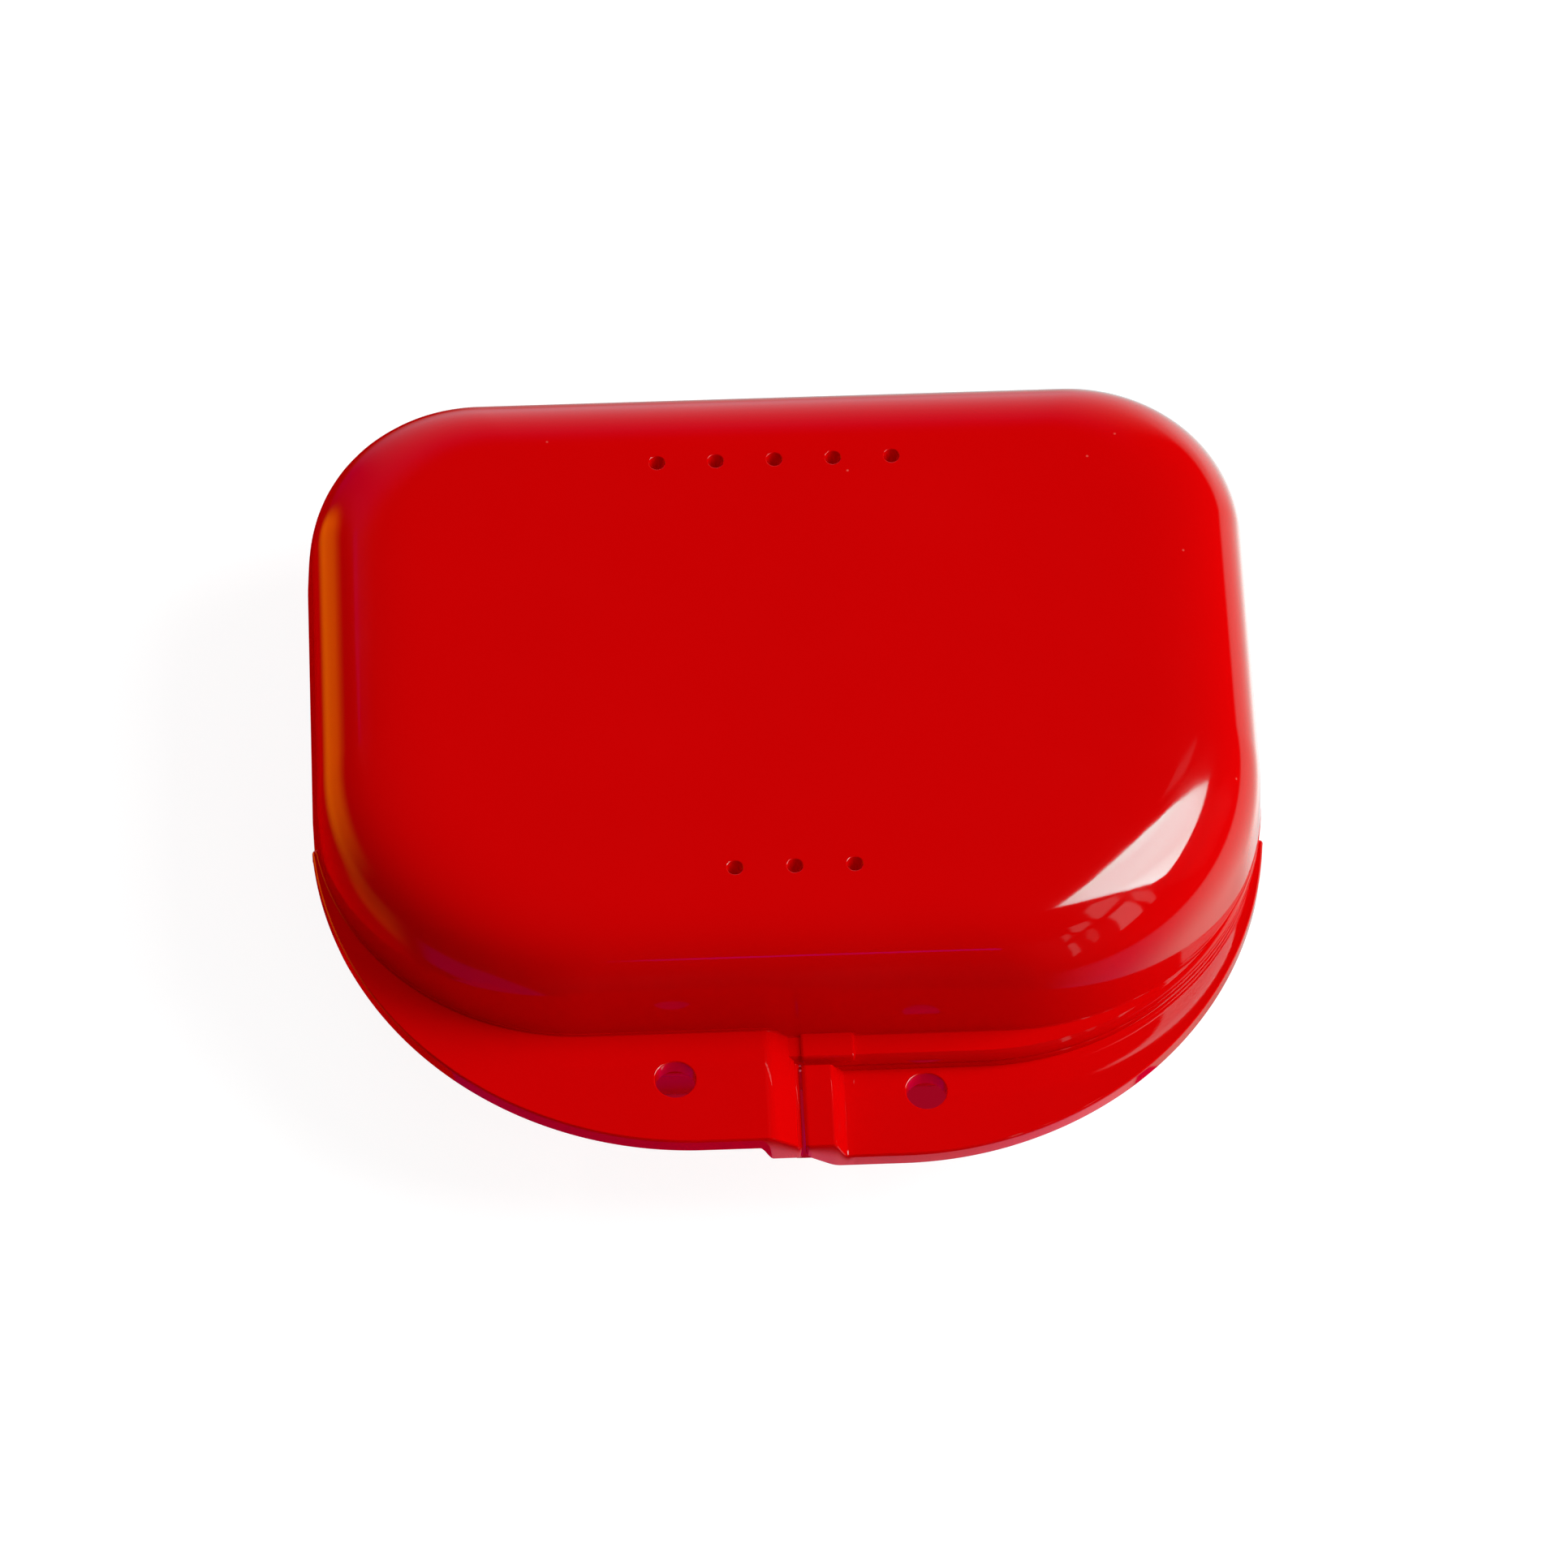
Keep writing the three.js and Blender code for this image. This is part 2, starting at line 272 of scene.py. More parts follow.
FRONT_RISE_RAMP = (-61, -54)
FRONT_TINT = Vector((2.0, 0.6, 0.8))
FRONT_SIDE_TINT = Vector((1.6, 0.2, 0.7))
FRONT_SIDE_RAMP = (70, 95)
ARC_TURNS = (50, 139, 4)
ARC_GAP = (77, 82, 4)
ARC_GAP_SHARE = 0.5
ARC_RISE_RAMP = (78, 118)
ARC_HEIGHTS = (-48, -26)
ARC_HALF_HEIGHTS = (3, 11)
ARC_FADE = 2
ARC_TINT = Vector((0, 0, 0.19))
WARM_START_RAMP = (-98, -66)
WARM_END_RAMP = (-50, -42)
WARM_ELEVATIONS = (-22, 17, 11)
WARM_TINT = Vector((3.2, 0.85, 0))
LEFT_GLOWS = (
    ((-110, -42, 8), (-105, -25, 15), Vector((0.8, 0, 0))),
    ((-42, 0, 6), (-100, -35, 10), Vector((0.3, 0, 0))),
    ((-40, 12, 8), (-14, 46, 6), Vector((0, 0, 0.16))),
    ((-110, -84, 7), (-35, -8, 6), Vector((0.55, 0.13, 0))),
)

# Cuts run past the faces that they pass through, and joined solids reach into each other
OVERRUN = 2
BORE_OVERRUN = 0.25
BITE = 0.03

hinge_axis = BODY_BACK + HINGE_STAND_OFF
flange_front = BODY_FRONT + FLANGE_REACH
flange_inner = -FLANGE_OFFSET
flange_outer = -FLANGE_OFFSET - FLANGE_THICKNESS
datum = frame["joints"][0]["pos_m"][1] / MM - hinge_axis
parting = frame["joints"][0]["pos_m"][2] / MM


# Camera at the photograph's viewing angle

def make_camera():
    """Camera that looks down at the case from the front."""
    data = bpy.data.cameras.new("camera")
    camera = bpy.data.objects.new("camera", data)
    bpy.context.scene.collection.objects.link(camera)
    bpy.context.scene.camera = camera
    data.lens = CAMERA_LENS
    data.clip_end = CAMERA_REACH
    target = Vector((CAMERA_AIM, datum, parting)) * MM
    heading = Vector((
        -math.sin(CAMERA_TURN) * math.cos(CAMERA_RISE),
        -math.cos(CAMERA_TURN) * math.cos(CAMERA_RISE),
        math.sin(CAMERA_RISE),
    ))
    camera.location = target + heading * CAMERA_DISTANCE * MM
    gaze = (-heading).to_track_quat("-Z", "Y")
    camera.rotation_mode = "QUATERNION"
    camera.rotation_quaternion = gaze @ Quaternion((0, 0, 1), CAMERA_ROLL)


make_camera()


# Plain vector and curve helpers

SQUARE = ((-1, -1), (1, -1), (1, 1), (-1, 1))


def mix(a, b, share):
    """The value that lies a share of the way from one value to another."""
    return a + (b - a) * share


def quarter_turns(steps):
    """Even angles from zero to a right angle."""
    return [math.pi / 2 * step / steps for step in range(steps + 1)]


def edge_turns():
    """Angles of an edge's rounding from the upright face, which ends in a soft crease."""
    return [EDGE_SWEEP * step / ROUND_STEPS for step in range(ROUND_STEPS + 1)]


def bezier(points, share):
    """Point of a Bezier curve, by mixing neighbours until one point is left."""
    while len(points) > 1:
        points = [mix(a, b, share) for a, b in zip(points, points[1:])]
    return points[0]


def resampled(points, count):
    """Evenly spaced points along a polyline, its ends included."""
    lengths = [0]
    for a, b in zip(points, points[1:]):
        lengths.append(lengths[-1] + (b - a).length)
    result = []
    place = 0
    for step in range(count):
        goal = lengths[-1] * step / (count - 1)
        while place < len(points) - 2 and lengths[place + 1] < goal:
            place += 1
        span = lengths[place + 1] - lengths[place]
        result.append(mix(points[place], points[place + 1], (goal - lengths[place]) / span))
    return result


def half_outline(half_width, front, back, front_radius, back_radius):
    """Right half of a plan outline with its outward directions, from front middle to back."""
    front_centre = Vector((half_width - front_radius, front_radius - front))
    back_centre = Vector((half_width - back_radius, back - back_radius))
    pairs = []

    def run(start, end, direction):
        for step in range(STRAIGHT_STEPS):
            pairs.append((mix(start, end, step / STRAIGHT_STEPS), direction))

    def arc(centre, radius, first):
        for step in range(CORNER_STEPS):
            angle = first + math.pi / 2 * step / CORNER_STEPS
            direction = Vector((math.cos(angle), math.sin(angle)))
            pairs.append((centre + radius * direction, direction))

    right = Vector((1, 0))
    ahead = Vector((0, -1))
    run(Vector((0, -front)), front_centre + front_radius * ahead, ahead)
    arc(front_centre, front_radius, -math.pi / 2)
    run(front_centre + front_radius * right, back_centre + back_radius * right, right)
    arc(back_centre, back_radius, 0)
    run(back_centre - back_radius * ahead, Vector((0, back)), -ahead)
    pairs.append((Vector((0, back)), -ahead))
    return pairs


def outline(*sizes):
    """Whole plan outline: the right half, then its mirror image back to the front."""
    half = half_outline(*sizes)
    flip = Matrix(((-1, 0), (0, 1)))
    return half + [(flip @ point, flip @ direction) for point, direction in reversed(half[1:-1])]


def ring(plan, inset, height):
    """Points of a plan outline, drawn in by an inset, at a height."""
    return [(point - inset * direction).to_3d() + Vector((0, 0, height)) for point, direction in plan]


# Mesh helpers

def closed_loft(rings):
    """Closed mesh over rings of equal counts, with a flat face on the first and last ring."""
    mesh = bmesh.new()
    rows = [[mesh.verts.new(point) for point in points] for points in rings]
    for low, high in zip(rows, rows[1:]):
        for side in range(len(low)):
            follow = (side + 1) % len(low)
            mesh.faces.new((low[side], low[follow], high[follow], high[side]))
    mesh.faces.new(rows[0])
    mesh.faces.new(rows[-1])
    bmesh.ops.remove_doubles(mesh, verts=mesh.verts, dist=MERGE_DISTANCE)
    bmesh.ops.dissolve_degenerate(mesh, edges=mesh.edges, dist=SLIVER_LENGTH)
    bmesh.ops.recalc_face_normals(mesh, faces=mesh.faces)
    return mesh


def extruded(section, low, high, edge=0):
    """Section in Y and Z, extruded along X, with its end edges rounded."""
    rings = [[Vector((x, y, z)) for y, z in section] for x in (low, high)]
    mesh = closed_loft(rings)
    if edge:
        runs = [(item, item.verts[1].co.x - item.verts[0].co.x) for item in mesh.edges]
        ends = [item for item, run in runs if abs(run) < MERGE_DISTANCE]
        round_edges(mesh, ends, edge)
    return mesh


def round_edges(mesh, edges, radius):
    """Rounds the edges of a mesh."""
    bmesh.ops.bevel(
        mesh, geom=edges, offset=radius, offset_type="OFFSET", segments=ROUND_STEPS,
        profile=ROUND_PROFILE, affect="EDGES", clamp_overlap=True,
    )


def lathe(profile, centre, axis, sides):
    """Closed turned body from radius and height pairs that start and end on the axis."""
    turn = Vector((0, 0, 1)).rotation_difference(axis).to_matrix()
    rings = []
    for radius, height in profile:
        angles = [2 * math.pi * side / sides for side in range(sides)]
        circle = [Vector((radius * math.cos(a), radius * math.sin(a), height)) for a in angles]
        rings.append([centre + turn @ point for point in circle])
    return closed_loft(rings)


def as_object(mesh, name):
    """Object made of the mesh, which is used up."""
    data = bpy.data.meshes.new(name)
    mesh.to_mesh(data)
    mesh.free()
    made = bpy.data.objects.new(name, data)
    bpy.context.scene.collection.objects.link(made)
    return made


def combined(target, operands, operation):
    """The target after a boolean with each operand; the operands are used up."""
    for operand in operands:
        modifier = target.modifiers.new(operation, "BOOLEAN")
        modifier.operation = operation
        modifier.solver = "MANIFOLD"
        modifier.object = operand
    depsgraph = bpy.context.evaluated_depsgraph_get()
    result = bpy.data.meshes.new_from_object(target.evaluated_get(depsgraph))
    target.modifiers.clear()
    target.data = result
    for operand in operands:
        bpy.data.objects.remove(operand)
    return target


# Cup of the moulding: outer skin, ledge, mouth, inner skin

body_plan = outline(BODY_HALF_WIDTH, BODY_FRONT, BODY_BACK, FRONT_CORNER, BACK_CORNER)
rim_plan = outline(BODY_HALF_WIDTH, BODY_FRONT + RIM_REACH, BODY_BACK, RIM_CORNER, BACK_CORNER)
flat_plan = outline(FLAT_HALF_WIDTH, FLAT_FRONT, FLAT_BACK, FLAT_FRONT_CORNER, FLAT_BACK_CORNER)


def draft_inset(height):
    """How far the outer wall has drawn in at a height below the mouth."""
    return max(0, -height - RIM_THICKNESS) * math.tan(DRAFT)


def edge_rings():
    """Outer edge from the flat to the wall, with a curvature that starts and ends at zero."""
    corner = ring(body_plan, draft_inset(-HALF_HEIGHT), -HALF_HEIGHT)
    wall = ring(body_plan, draft_inset(EDGE_DROP - HALF_HEIGHT), EDGE_DROP - HALF_HEIGHT)
    flat = ring(flat_plan, 0, -HALF_HEIGHT)
    rings = []
    for step in range(EDGE_STEPS + 1):
        share = step / EDGE_STEPS
        points = []
        for inner, meeting, outer in zip(flat, corner, wall):
            flat_handles = [mix(meeting, inner, part) for part in FLAT_HANDLE_SHARES]
            wall_handles = [mix(meeting, outer, part) for part in reversed(WALL_HANDLE_SHARES)]
            points.append(bezier([inner, *flat_handles, *wall_handles, outer], share))
        rings.append(points)
    return rings


def ledge_rings():
    """From the foot of the wall out over the ledge and down its front face to the mouth."""
    rings = []
    feet = ring(body_plan, 0, 0)
    edges = ring(rim_plan, 0, 0)
    widths = [(outer - inner).length for inner, outer in zip(feet, edges)]
    outwards = [direction.to_3d() for _, direction in body_plan]

    def level(of_foot, reach, drop):
        points = []
        for foot, edge, width, outward in zip(feet, edges, widths, outwards):
            start = foot if of_foot else edge
            fit = min(1, width / FULL_LEDGE_WIDTH)
            points.append(start + reach * fit * outward + Vector((0, 0, -RIM_THICKNESS + drop * fit)))
        return points

    for angle in edge_turns():
        drop = FOOT_RADIUS * (math.sin(angle) - math.sin(EDGE_SWEEP))
        rings.append(level(True, FOOT_RADIUS * (1 - math.cos(angle)), drop))
    for angle in reversed(edge_turns()):
        drop = RIM_EDGE * (math.sin(EDGE_SWEEP) - math.sin(angle))
        rings.append(level(False, RIM_EDGE * (math.cos(angle) - 1), drop))
    return rings


def mouth_rings():
    """Over the mouth's face, from its outer edge to its inner one."""
    rings = []
    for angle in edge_turns():
        inset = MOUTH_EDGE * (1 - math.cos(angle))
        height = -PARTING_GAP / 2 - MOUTH_EDGE * (math.sin(EDGE_SWEEP) - math.sin(angle))
        rings.append(ring(rim_plan, inset, height))
    for angle in reversed(edge_turns()):
        inset = WALL - MOUTH_EDGE * (1 - math.cos(angle))
        height = -PARTING_GAP / 2 - MOUTH_EDGE * (math.sin(EDGE_SWEEP) - math.sin(angle))
        rings.append(ring(body_plan, inset, height))
    return rings


def inner_rings():
    """Down the inside of the wall and round to the inner floor."""
    rings = []
    depth = HALF_HEIGHT - WALL
    inner_draft = (depth - RIM_THICKNESS - INNER_EDGE) * math.tan(DRAFT)
    rings.append(ring(body_plan, WALL, -RIM_THICKNESS))
    for angle in quarter_turns(INNER_EDGE_STEPS):
        inset = WALL + inner_draft + INNER_EDGE * (1 - math.cos(angle))
        rings.append(ring(body_plan, inset, -depth + INNER_EDGE * (1 - math.sin(angle))))
    return rings


def cup():
    """Whole hollow cup of the moulding."""
    return closed_loft(edge_rings() + ledge_rings() + mouth_rings() + inner_rings())


# Thumb flange with its bent end and the fillet at its foot

def inner_face(x):
    """Height of the flange's face towards the parting plane, raised at the split."""
    start = SPLIT_GAP / 2 + BEND_TOP_LENGTH
    share = min(max((x - start) / INNER_BEND_LENGTH, 0), 1)
    return flange_inner + BEND_LIFT * (1 + math.cos(math.pi * share)) / 2


def outer_face(x):
    """Height of the flange's other face, which rises to the split on a straight slope."""
    left = OUTER_BEND_LENGTH + SPLIT_GAP / 2 - x
    soft = BEND_SOFTNESS
    if left > soft:
        rise = left
    else:
        rise = max(left + soft, 0) ** 2 / (4 * soft)
    return flange_outer + BEND_LIFT * rise / OUTER_BEND_LENGTH


def corner_path(half_width, front, radius, start_x, end_y):
    """From a place on the straight front round the corner to a place on the side."""
    centre = Vector((half_width - radius, radius - front))
    points = [Vector((start_x, -front))]
    last = math.acos(min(max((centre.y - end_y) / radius, -1), 1))
    for step in range(BAND_STATIONS + 1):
        angle = last * step / BAND_STATIONS
        points.append(centre + radius * Vector((math.sin(angle), -math.cos(angle))))
    return points


def flange_stations():
    """Stations along the flange, from the split to its side end: outer edge and foot points."""
    start = SPLIT_GAP / 2
    straight_end = start + BEND_TOP_LENGTH + INNER_BEND_LENGTH
    stations = []
    for step in range(BEND_STATIONS):
        x = mix(start, straight_end, step / BEND_STATIONS)
        stations.append((Vector((x, -flange_front)), Vector((x, -BODY_FRONT))))
    half_width = BODY_HALF_WIDTH + FLANGE_SIDE_STEP
    edge = corner_path(half_width, flange_front, FLANGE_CORNER, straight_end, -FLANGE_END)
    foot = corner_path(BODY_HALF_WIDTH, BODY_FRONT, FRONT_CORNER, straight_end, -FLANGE_END)
    edge = resampled(edge, BAND_STATIONS)
    foot = resampled(foot, BAND_STATIONS)
    return stations + list(zip(edge, foot))


def outward_directions(points):
    """Unit directions square to a path, on its outer side."""
    directions = []
    for place in range(len(points)):
        ahead = points[min(place + 1, len(points) - 1)] - points[max(place - 1, 0)]
        directions.append(Vector((ahead.y, -ahead.x)).normalized())
    return directions


def flange_section(edge, edge_out, foot, foot_out, inset, shift):
    """Closed section across the flange, drawn in by an inset, moved along the flange by a shift."""
    radius = FLANGE_EDGE - inset
    rim = edge - inset * edge_out
    low = outer_face(edge.x) + inset
    high = inner_face(edge.x) - inset
    points = []

    def add(plan_point, height):
        points.append((plan_point + shift).to_3d() + Vector((0, 0, height)))

    add(foot - FLANGE_ROOT * foot_out, high)
    climb = FOOT_RADIUS * math.sin(EDGE_SWEEP)
    add(foot - FLANGE_ROOT * foot_out, low - climb)
    for angle in edge_turns():
        reach = FOOT_RADIUS * (1 - math.cos(angle)) - BITE
        add(foot + reach * foot_out, low - climb + FOOT_RADIUS * math.sin(angle))
    border = rim - (radius + FLANGE_BORDER) * edge_out
    add(border, low)
    lift = radius * math.sin(EDGE_SWEEP)
    for angle in reversed(edge_turns()):
        add(rim - radius * (1 - math.cos(angle)) * edge_out, low + lift - radius * math.sin(angle))
    for angle in edge_turns():
        add(rim - radius * (1 - math.cos(angle)) * edge_out, high - lift + radius * math.sin(angle))
    add(border, high)
    return points


def flange():
    """Thumb flange from the split to its side end, with both ends rounded."""
    stations = flange_stations()
    edges = [edge for edge, _ in stations]
    feet = [foot for _, foot in stations]
    edge_outs = outward_directions(edges)
    foot_outs = outward_directions(feet)
    everything = list(zip(edges, edge_outs, feet, foot_outs))
    none = Vector((0, 0))
    first = everything[0]
    last = everything[-1]
    rings = []
    for angle in reversed(quarter_turns(ROUND_STEPS)):
        shift = Vector((FLANGE_EDGE * (1 - math.sin(angle)), 0))
        rings.append(flange_section(*first, FLANGE_EDGE * (1 - math.cos(angle)), shift))
    keep = [item for item in everything[1:-1] if item[0].x > first[0].x + FLANGE_EDGE]
    rings += [flange_section(*item, 0, none) for item in keep]
    for angle in quarter_turns(ROUND_STEPS):
        shift = Vector((0, FLANGE_EDGE * (math.sin(angle) - 1)))
        rings.append(flange_section(*last, FLANGE_EDGE * (1 - math.cos(angle)), shift))
    return closed_loft(rings)


def mouth_cut():
    """Room for the other moulding's rim where this one's bent end rises past the parting plane."""
    plan = ring(rim_plan, -RIM_CLEARANCE, 0)
    heights = (-PARTING_GAP / 2, BEND_LIFT + OVERRUN)
    return closed_loft([[point + Vector((0, 0, height)) for point in plan] for height in heights])


# Holes

def trumpet(centre, low_radius, high_radius, flare, low, high, sides):
    """Through cut along Z, widened at both faces by a round lip that stops short of level."""
    steps = [LIP_SWEEP * step / LIP_STEPS for step in range(LIP_STEPS + 1)]
    lip = [(flare * (1 - math.cos(angle)), flare * (1 - math.sin(angle))) for angle in steps]
    reach, short = lip[-1]
    slope = (reach + OVERRUN * math.sin(steps[-1]), short - OVERRUN * math.cos(steps[-1]))
    below = [(low_radius + r, low + h) for r, h in [slope, *reversed(lip)]]
    above = [(high_radius + r, high - h) for r, h in [*lip, slope]]
    profile = [(0, below[0][1]), *below, *above, (0, above[-1][1])]
    return lathe(profile, centre.to_3d(), Vector((0, 0, 1)), sides)


def vent_cuts():
    """Cuts for the vent holes, row by row."""
    cuts = []
    for count, y in VENT_ROWS:
        for place in range(count):
            x = VENT_PITCH * (place - (count - 1) / 2)
            cut = trumpet(
                Vector((x, y)), VENT_RADIUS, VENT_FOOT_RADIUS, VENT_FLARE,
                -HALF_HEIGHT, WALL - HALF_HEIGHT, VENT_SIDES,
            )
            cuts.append(as_object(cut, "vent_cut"))
    return cuts


def cord_hole_cut():
    """Cut for the cord hole through the flange."""
    y = -flange_front + CORD_HOLE_FROM_FRONT + CORD_HOLE_RADIUS
    return trumpet(
        Vector((CORD_HOLE_FROM_SPLIT, y)), CORD_HOLE_RADIUS, CORD_HOLE_RADIUS, CORD_HOLE_FLARE,
        flange_outer, flange_inner, ROUND_SIDES,
    )


# Catch

def catch_pad():
    """Small raised pad on the ledge beside the split."""
    back = -BODY_FRONT + WALL / 2
    section = [
        (-BODY_FRONT - RIM_REACH, -RIM_THICKNESS / 2),
        (-BODY_FRONT - RIM_REACH, -RIM_THICKNESS - PAD_RISE),
        (back, -RIM_THICKNESS - PAD_RISE),
        (back, -RIM_THICKNESS / 2),
    ]
    mesh = extruded(section, -SPLIT_GAP / 2 - PAD_LENGTH, -SPLIT_GAP / 2)
    round_edges(mesh, [edge for edge in mesh.edges if edge.calc_length() > PAD_EDGE], PAD_EDGE)
    return mesh


def catch_tongue():
    """Tongue behind the front wall that reaches into the other moulding."""
    face = -BODY_FRONT + WALL
    outer = face + TONGUE_CLEARANCE
    inner = outer + TONGUE_THICKNESS
    rooted = face - WALL / 2
    section = [
        (rooted, -TONGUE_ROOT - inner + rooted),
        (inner, -TONGUE_ROOT),
        (inner, TONGUE_HEIGHT - TONGUE_EDGE),
        (inner - TONGUE_EDGE, TONGUE_HEIGHT),
        (outer + TONGUE_EDGE, TONGUE_HEIGHT),
        (outer, TONGUE_HEIGHT - TONGUE_EDGE),
        (outer, -RIM_THICKNESS),
        (rooted, -RIM_THICKNESS),
    ]
    return extruded(section, TONGUE_FROM_CENTRE, TONGUE_FROM_CENTRE + TONGUE_LENGTH, TONGUE_EDGE / 2)


# Hinge

def knuckle_spans(centre):
    """Spans of a hinge's middle knuckle and of its two outer ones."""
    middle = MIDDLE_KNUCKLE / 2
    outer = middle + KNUCKLE_SIDE_GAP
    return [(centre - middle, centre + middle)], [
        (centre - outer - OUTER_KNUCKLE, centre - outer),
        (centre + outer, centre + outer + OUTER_KNUCKLE),
    ]


def rod(radius, low, high):
    """Plain cylinder along the hinge axis."""
    profile = [(0, low), (radius, low), (radius, high), (0, high)]
    return lathe(profile, Vector((0, hinge_axis, 0)), Vector((1, 0, 0)), ROUND_SIDES)


def rods(name, spans, radius, reach):
    """One rod for each span, with a reach past both of its ends."""
    return [as_object(rod(radius, low - reach, high + reach), name) for low, high in spans]


def knuckle(low, high):
    """Round knuckle with a sloping web that runs into the back wall."""
    rooted = BODY_BACK - WALL / 2
    steps = ROUND_SIDES // 2
    angles = [mix(-WEB_SLOPE, math.pi, step / steps) for step in range(steps + 1)]
    arc = [(hinge_axis + KNUCKLE_RADIUS * math.cos(a), KNUCKLE_RADIUS * math.sin(a)) for a in angles]
    web_end, web_top = arc[0]
    web_foot = web_top - (web_end - rooted) / math.tan(WEB_SLOPE)
    section = [(rooted, -PARTING_GAP / 2), (rooted, web_foot), *arc]
    return extruded(section, low, high, KNUCKLE_EDGE)


def hinge_solids():
    """This moulding's knuckles, the bores through them, and the notches for the other's."""
    right_middle, right_outer = knuckle_spans(HINGE_SPACING / 2)
    left_middle, left_outer = knuckle_spans(-HINGE_SPACING / 2)
    own = right_outer + left_middle
    others = right_middle + left_outer
    knuckles = [as_object(knuckle(*span), "knuckle") for span in own]
    bores = rods("bore", own, PIN_RADIUS + PIN_CLEARANCE, BORE_OVERRUN)
    notches = rods("notch", others, KNUCKLE_RADIUS + NOTCH_GAP, KNUCKLE_SIDE_GAP)
    return knuckles, bores, notches


def moulding():
    """One whole moulding, open upwards at the parting plane, with its flange to +X."""
    knuckles, bores, notches = hinge_solids()
    tab = as_object(flange(), "tab")
    tab_cuts = [as_object(mouth_cut(), "mouth_cut"), as_object(cord_hole_cut(), "cord_cut")]
    combined(tab, tab_cuts, "DIFFERENCE")
    shell = as_object(cup(), "moulding")
    combined(shell, [*notches, *vent_cuts()], "DIFFERENCE")
    catch = [as_object(catch_pad(), "pad"), as_object(catch_tongue(), "tongue")]
    combined(shell, [tab, *catch, *knuckles], "UNION")
    combined(shell, bores, "DIFFERENCE")
    return shell


def placed(data, turned):
    """Copy of the moulding's mesh in the shared frame, turned over for the lid."""
    copy = data.copy()
    if turned:
        copy.transform(Matrix.Rotation(math.pi, 4, "Y"))
    copy.transform(Matrix.Translation((0, datum, parting)))
    copy.transform(Matrix.Scale(MM, 4))
    return copy


shell = moulding()
pieces = {}
for name, node, body, turned in (
    ("base_moulding", "base_shell", "base", False),
    ("lid_moulding", "lid_shell", "lid", True),
):
    piece = bpy.data.objects.new(name, placed(shell.data, turned))
    bpy.context.scene.collection.objects.link(piece)
    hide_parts(node)
    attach(piece, body)
    pieces[name] = piece
bpy.data.objects.remove(shell)


def pin():
    """Turned pin with rounded ends, each with a shallow centre mark."""
    half = MIDDLE_KNUCKLE / 2 + KNUCKLE_SIDE_GAP + OUTER_KNUCKLE - PIN_INSET
    end = [(0, half - PIN_MARK_DEPTH), (PIN_MARK_RADIUS, half)]
    for angle in quarter_turns(ROUND_STEPS):
        reach = PIN_RADIUS - PIN_EDGE * (1 - math.sin(angle))
        end.append((reach, half - PIN_EDGE * (1 - math.cos(angle))))
    profile = [(radius, -height) for radius, height in end] + list(reversed(end))
    return lathe(profile, Vector((0, hinge_axis, 0)), Vector((1, 0, 0)), ROUND_SIDES)


steel_pins = {}
for name, node, side in (("pin_right", "hinge_pin_right", 1), ("pin_left", "hinge_pin_left", -1)):
    mesh = pin()
    mesh.transform(Matrix.Translation((side * HINGE_SPACING / 2, datum, parting)))
    mesh.transform(Matrix.Scale(MM, 4))
    piece = as_object(mesh, name)
    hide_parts(node)
    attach(piece, "base")
    steel_pins[name] = piece


def smooth(piece):
    """Smooth shading that keeps the creases sharp."""
    for polygon in piece.data.polygons:
        polygon.use_smooth = True
    piece.data.set_sharp_from_angle(angle=CREASE_ANGLE)
    weighted = piece.modifiers.new("weighted", "WEIGHTED_NORMAL")
    weighted.keep_sharp = True


for piece in [*pieces.values(), *steel_pins.values()]:
    smooth(piece)
    piece.data.materials.clear()


# Material helpers

def new_material(name):
    """Material with an empty node tree."""
    material = bpy.data.materials.new(name)
    material.use_nodes = True
    material.node_tree.nodes.clear()
    return material


class Nodes:
    """Adds nodes to a tree, with values or other nodes' outputs for their inputs."""

    def __init__(self, tree):
        self.tree = tree

    def add(self, kind, inputs=None, **settings):
        """New node with its inputs and settings."""
        node = self.tree.nodes.new(kind)
        for key, value in settings.items():
            setattr(node, key, value)
        for key, value in (inputs or {}).items():
            if isinstance(value, bpy.types.NodeSocket):
                self.tree.links.new(value, node.inputs[key])
            else:
                node.inputs[key].default_value = value
        return node

    def math(self, operation, *values):
        """Output of a calculation with the values."""
        node = self.add("ShaderNodeMath", dict(enumerate(values)), operation=operation)
        return node.outputs[0]

    def blend(self, share, first, second):
        """Output of a mix of two colours."""
        node = self.add("ShaderNodeMix", {0: share, 6: first, 7: second}, data_type="RGBA")
        return node.outputs[2]

    def noise(self, place, scale, detail):
        """Output of a cloudy pattern."""
        node = self.add("ShaderNodeTexNoise", {"Vector": place, "Scale": scale, "Detail": detail})
        return node.outputs["Fac"]

    def spread(self, value, results, span=(0, 1)):
        """Output that runs over the results as the value runs over its span."""
        node = self.add("ShaderNodeMapRange", {
            "Value": value, "From Min": span[0], "From Max": span[1],
            "To Min": results[0], "To Max": results[1],
        })
        return node.outputs[0]

    def seen(self):
        """One for rays from the camera and for mirrored and transmitted ones."""
        path = self.add("ShaderNodeLightPath")
        both = self.math("MAXIMUM", path.outputs["Is Camera Ray"], path.outputs["Is Glossy Ray"])
        return self.math("MAXIMUM", both, path.outputs["Is Transmission Ray"])


def specks(nodes, place):
    """One on a few small dust specks, zero between them."""
    nearest = 1.0
    for speck in SPECKS:
        spot = Vector(speck) * MM
        apart = nodes.add("ShaderNodeVectorMath", {0: place, 1: spot}, operation="DISTANCE")
        nearest = nodes.math("MINIMUM", apart.outputs["Value"], nearest)
    amount = nodes.add("ShaderNodeMapRange", {
        "Value": nearest, "From Min": SPECK_RADIUS * MM, "From Max": 0.0,
    }, interpolation_type="SMOOTHSTEP")
    return amount.outputs[0]


